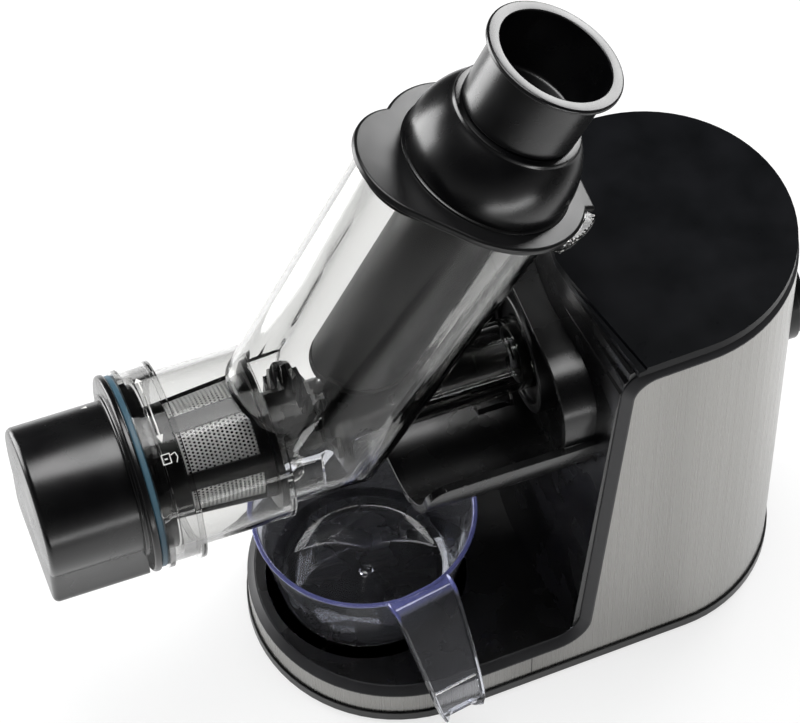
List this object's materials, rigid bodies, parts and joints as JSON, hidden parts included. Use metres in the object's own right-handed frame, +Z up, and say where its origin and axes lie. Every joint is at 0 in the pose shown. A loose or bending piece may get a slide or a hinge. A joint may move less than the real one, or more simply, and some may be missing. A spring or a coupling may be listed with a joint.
{
  "type": "cold press juicer",
  "caption": "Horizontal slow juicer: clear drum with leaning feed chute and pusher, black end cap, steel motor tower and a jug on the front deck",
  "frame": {"origin": "on the surface it stands on, in the middle of the base between the front and rear ends of the base outline", "axes": "+X to the motor tower, -X to the end cap, +Z up, +Y to the far side of the picture"},
  "size_m": [0.4292, 0.1968, 0.4647],
  "materials": {
    "steel": "vertical brushed stainless steel",
    "housing_black": "glossy black ABS",
    "satin_black": "satin black plastic",
    "trim_grey": "dark grey satin plastic",
    "clear": "clear copolyester",
    "silicone": "blue grey silicone",
    "rubber_black": "black rubber",
    "steel_part": "machined metal",
    "case_metal": "die cast grey metal",
    "gear_plastic": "natural engineering plastic",
    "brass": "machined brass",
    "copper_wound": "varnished laminations and windings",
    "board": "green circuit board",
    "screen": "perforated stainless steel"
  },
  "bodies": {
    "base": {"base_pan": "satin_black", "rubber_feet": "rubber_black", "pan_screws": "steel_part", "base_deck": "housing_black", "tower_housing": "housing_black", "steel_wrap": "steel", "edge_trim": "trim_grey", "top_cover": "satin_black", "drum_cradle": "housing_black", "coupling_collar": "satin_black", "shaft_seal": "rubber_black", "output_bearings": "steel_part", "gear_case_front": "case_metal", "gear_case_rear": "case_metal", "gear_case_screws": "steel_part", "intermediate_axle": "steel_part", "motor_can": "copper_wound", "motor_end_bell": "case_metal", "motor_saddle": "case_metal", "circuit_board": "board", "run_capacitor": "gear_plastic", "interlock_switch": "satin_black", "rotary_switch": "satin_black", "knob_bezel": "satin_black", "cord_inlet": "rubber_black"},
    "output_drive": {"output_shaft": "steel_part", "output_gear": "gear_plastic"},
    "intermediate": {"intermediate_gear": "gear_plastic"},
    "rotor": {"motor_rotor": "steel_part", "motor_pinion": "brass", "cooling_fan": "satin_black"},
    "knob": {"speed_knob": "housing_black"},
    "drum_set": {"drum": "clear", "neck_seal": "silicone", "strainer_cage": "satin_black", "strainer_screen": "screen"},
    "auger_set": {"auger": "housing_black", "auger_socket": "gear_plastic"},
    "cap_set": {"end_cap": "housing_black", "cap_gasket": "silicone", "tip_bush": "gear_plastic"},
    "lid_set": {"lid": "housing_black", "lid_seal": "silicone"},
    "pusher_set": {"pusher": "housing_black", "pusher_foot": "rubber_black"},
    "jug_set": {"jug": "clear"}
  },
  "joints": [
    {"name": "output_spin", "type": "hinge", "parent": "base", "child": "output_drive", "pos_m": [0.041, 0, 0.205], "axis": [1, 0, 0], "continuous": true},
    {"name": "intermediate_spin", "type": "hinge", "parent": "base", "child": "intermediate", "pos_m": [0.05, 0, 0.143], "axis": [1, 0, 0], "continuous": true},
    {"name": "rotor_spin", "type": "hinge", "parent": "base", "child": "rotor", "pos_m": [0.1, 0, 0.098], "axis": [1, 0, 0], "continuous": true},
    {"name": "knob_turn", "type": "hinge", "parent": "base", "child": "knob", "pos_m": [0.155, 0, 0.19], "axis": [1, 0, 0], "range_deg": [-60, 60]},
    {"name": "drum_slide", "type": "slide", "parent": "base", "child": "drum_set", "axis": [-1, 0, 0], "range_m": [0, 0.12]},
    {"name": "auger_spin", "type": "hinge", "parent": "drum_set", "child": "auger_set", "pos_m": [-0.02, 0, 0.205], "axis": [1, 0, 0], "continuous": true},
    {"name": "cap_twist", "type": "hinge", "parent": "drum_set", "child": "cap_set", "pos_m": [-0.216, 0, 0.205], "axis": [1, 0, 0], "range_deg": [0, 40]},
    {"name": "lid_lift", "type": "slide", "parent": "drum_set", "child": "lid_set", "axis": [0.454, 0, 0.891], "range_m": [0, 0.06]},
    {"name": "pusher_slide", "type": "slide", "parent": "lid_set", "child": "pusher_set", "axis": [0.454, 0, 0.891], "range_m": [0, 0.15]},
    {"name": "jug_out", "type": "slide", "parent": "base", "child": "jug_set", "axis": [0, -0.891, 0.454], "range_m": [0, 0.19]}
  ],
  "couplings": [
    {"joint": "auger_spin", "follows": "output_spin", "ratio": 1},
    {"joint": "intermediate_spin", "follows": "output_spin", "ratio": -3.4286},
    {"joint": "rotor_spin", "follows": "output_spin", "ratio": 11.265}
  ]
}
